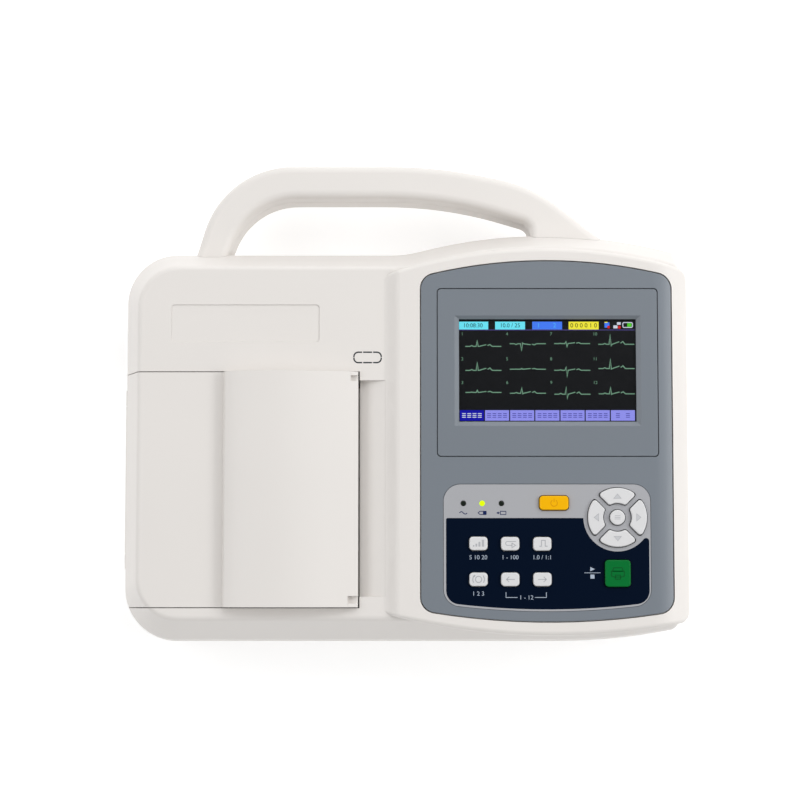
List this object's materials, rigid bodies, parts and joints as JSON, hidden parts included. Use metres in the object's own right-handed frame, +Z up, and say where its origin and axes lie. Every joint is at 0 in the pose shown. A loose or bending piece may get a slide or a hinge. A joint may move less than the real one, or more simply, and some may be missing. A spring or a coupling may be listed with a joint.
{
  "type": "electrocardiograph recorder",
  "caption": "Table-top electrocardiograph recorder with hinged paper cover, colour screen, key panel and a carrying handle at the back.",
  "frame": {"origin": "on the table under the centre of the bounding box", "axes": "+Z up, +X towards the screen side, +Y towards the handle at the back; the user sits at -Y"},
  "size_m": [0.297, 0.2528, 0.0768],
  "materials": {
    "case_white": "fine satin",
    "bezel_grey": "satin",
    "frame_grey": "satin",
    "window": "clear",
    "lcd": "dark panel, lit",
    "overlay": "printed silver and navy film",
    "led_dark": "clear dark",
    "led_lit": "lit",
    "steel": "ground",
    "rubber_black": "matte",
    "gear_white": "moulded",
    "bush_nylon": "moulded",
    "pinion_brass": "cut",
    "motor_can": "can",
    "ceramic": "glazed",
    "aluminium": "milled",
    "spring_steel": "wire",
    "zinc_sheet": "plated sheet",
    "inner_black": "moulded",
    "hub_grey": "moulded",
    "paper": "thermal paper",
    "card": "card tube",
    "silicone": "matte",
    "pcb": "solder mask",
    "screw_zinc": "plated",
    "chip_black": "moulded",
    "tin": "tinned",
    "winding": "taped winding",
    "battery_blue": "shrink sleeve",
    "speaker_black": "paper cone",
    "connector": "plated shell",
    "inlet_black": "moulded",
    "brass": "turned",
    "rubber_grey": "matte",
    "key_yellow": "satin",
    "key_green": "satin",
    "key_white": "satin"
  },
  "bodies": {
    "case": {"top_case": "case_white", "handle_upper": "case_white", "handle_lower": "case_white", "bottom_case": "case_white", "front_bezel": "bezel_grey", "display_frame": "frame_grey", "screen_window": "window", "lcd_panel": "lcd", "keypad_overlay": "overlay", "led_off": "led_dark", "led_on": "led_lit", "cover_hinge_pin": "steel", "idler_post": "steel", "stepper_motor": "motor_can", "thermal_head": "ceramic", "head_sink": "aluminium", "head_springs": "spring_steel", "head_bracket": "zinc_sheet", "printer_chassis": "inner_black", "roll_hubs": "hub_grey", "paper_web": "paper", "keypad_mat": "silicone", "keypad_board": "pcb", "main_board": "pcb", "board_chips": "chip_black", "shield_can": "tin", "power_board": "pcb", "transformer": "winding", "battery_pack": "battery_blue", "battery_door": "case_white", "speaker": "speaker_black", "patient_connector": "connector", "mains_inlet": "inlet_black", "earth_terminal": "brass", "rubber_feet": "rubber_grey", "case_screws": "screw_zinc", "small_screws": "screw_zinc"},
    "cover": {"paper_cover": "case_white", "platen_bushes": "bush_nylon"},
    "platen": {"platen_roller": "rubber_black", "platen_shaft": "steel", "platen_gear": "gear_white"},
    "idler": {"idler_gear": "gear_white"},
    "pinion": {"motor_pinion": "pinion_brass", "motor_shaft": "steel"},
    "roll": {"paper_roll": "paper", "paper_core": "card"},
    "key_sens_cap": {"key_sens": "key_white"},
    "key_recall_cap": {"key_recall": "key_white"},
    "key_copy_cap": {"key_copy": "key_white"},
    "key_mode_cap": {"key_mode": "key_white"},
    "key_prev_cap": {"key_prev": "key_white"},
    "key_next_cap": {"key_next": "key_white"},
    "key_power_cap": {"key_power": "key_yellow"},
    "key_start_cap": {"key_start": "key_green"},
    "key_menu_cap": {"key_menu": "key_white"},
    "key_up_cap": {"key_up": "key_white"},
    "key_left_cap": {"key_left": "key_white"},
    "key_down_cap": {"key_down": "key_white"},
    "key_right_cap": {"key_right": "key_white"}
  },
  "joints": [
    {"name": "cover_hinge", "type": "hinge", "parent": "case", "child": "cover", "pos_m": [-0.1463, -0.041, 0.04], "axis": [0, -1, 0], "range_deg": [0, 95]},
    {"name": "roll_spin", "type": "hinge", "parent": "case", "child": "roll", "pos_m": [-0.063, -0.049, 0.044], "axis": [0, 1, 0], "continuous": true},
    {"name": "platen_spin", "type": "hinge", "parent": "cover", "child": "platen", "pos_m": [-0.0312, -0.049, 0.056], "axis": [0, 1, 0], "continuous": true},
    {"name": "idler_spin", "type": "hinge", "parent": "case", "child": "idler", "pos_m": [-0.0312, 0.0107, 0.0413], "axis": [0, 1, 0], "continuous": true},
    {"name": "pinion_spin", "type": "hinge", "parent": "case", "child": "pinion", "pos_m": [-0.02611, 0.0107, 0.02901], "axis": [0, 1, 0], "continuous": true},
    {"name": "key_sens_press", "type": "slide", "parent": "case", "child": "key_sens_cap", "axis": [0, 0, -1], "range_m": [0, 0.0008], "stiffness_N_per_m": 700, "springref_m": -0.0004},
    {"name": "key_recall_press", "type": "slide", "parent": "case", "child": "key_recall_cap", "axis": [0, 0, -1], "range_m": [0, 0.0008], "stiffness_N_per_m": 700, "springref_m": -0.0004},
    {"name": "key_copy_press", "type": "slide", "parent": "case", "child": "key_copy_cap", "axis": [0, 0, -1], "range_m": [0, 0.0008], "stiffness_N_per_m": 700, "springref_m": -0.0004},
    {"name": "key_mode_press", "type": "slide", "parent": "case", "child": "key_mode_cap", "axis": [0, 0, -1], "range_m": [0, 0.0008], "stiffness_N_per_m": 700, "springref_m": -0.0004},
    {"name": "key_prev_press", "type": "slide", "parent": "case", "child": "key_prev_cap", "axis": [0, 0, -1], "range_m": [0, 0.0008], "stiffness_N_per_m": 700, "springref_m": -0.0004},
    {"name": "key_next_press", "type": "slide", "parent": "case", "child": "key_next_cap", "axis": [0, 0, -1], "range_m": [0, 0.0008], "stiffness_N_per_m": 700, "springref_m": -0.0004},
    {"name": "key_power_press", "type": "slide", "parent": "case", "child": "key_power_cap", "axis": [0, 0, -1], "range_m": [0, 0.0008], "stiffness_N_per_m": 700, "springref_m": -0.0004},
    {"name": "key_start_press", "type": "slide", "parent": "case", "child": "key_start_cap", "axis": [0, 0, -1], "range_m": [0, 0.0008], "stiffness_N_per_m": 700, "springref_m": -0.0004},
    {"name": "key_menu_press", "type": "slide", "parent": "case", "child": "key_menu_cap", "axis": [0, 0, -1], "range_m": [0, 0.0008], "stiffness_N_per_m": 700, "springref_m": -0.0004},
    {"name": "key_up_press", "type": "slide", "parent": "case", "child": "key_up_cap", "axis": [0, 0, -1], "range_m": [0, 0.0008], "stiffness_N_per_m": 700, "springref_m": -0.0004},
    {"name": "key_left_press", "type": "slide", "parent": "case", "child": "key_left_cap", "axis": [0, 0, -1], "range_m": [0, 0.0008], "stiffness_N_per_m": 700, "springref_m": -0.0004},
    {"name": "key_down_press", "type": "slide", "parent": "case", "child": "key_down_cap", "axis": [0, 0, -1], "range_m": [0, 0.0008], "stiffness_N_per_m": 700, "springref_m": -0.0004},
    {"name": "key_right_press", "type": "slide", "parent": "case", "child": "key_right_cap", "axis": [0, 0, -1], "range_m": [0, 0.0008], "stiffness_N_per_m": 700, "springref_m": -0.0004}
  ],
  "couplings": [
    {"joint": "platen_spin", "follows": "roll_spin", "ratio": 4.1667},
    {"joint": "idler_spin", "follows": "roll_spin", "ratio": -3.125},
    {"joint": "pinion_spin", "follows": "roll_spin", "ratio": 5.3571}
  ]
}
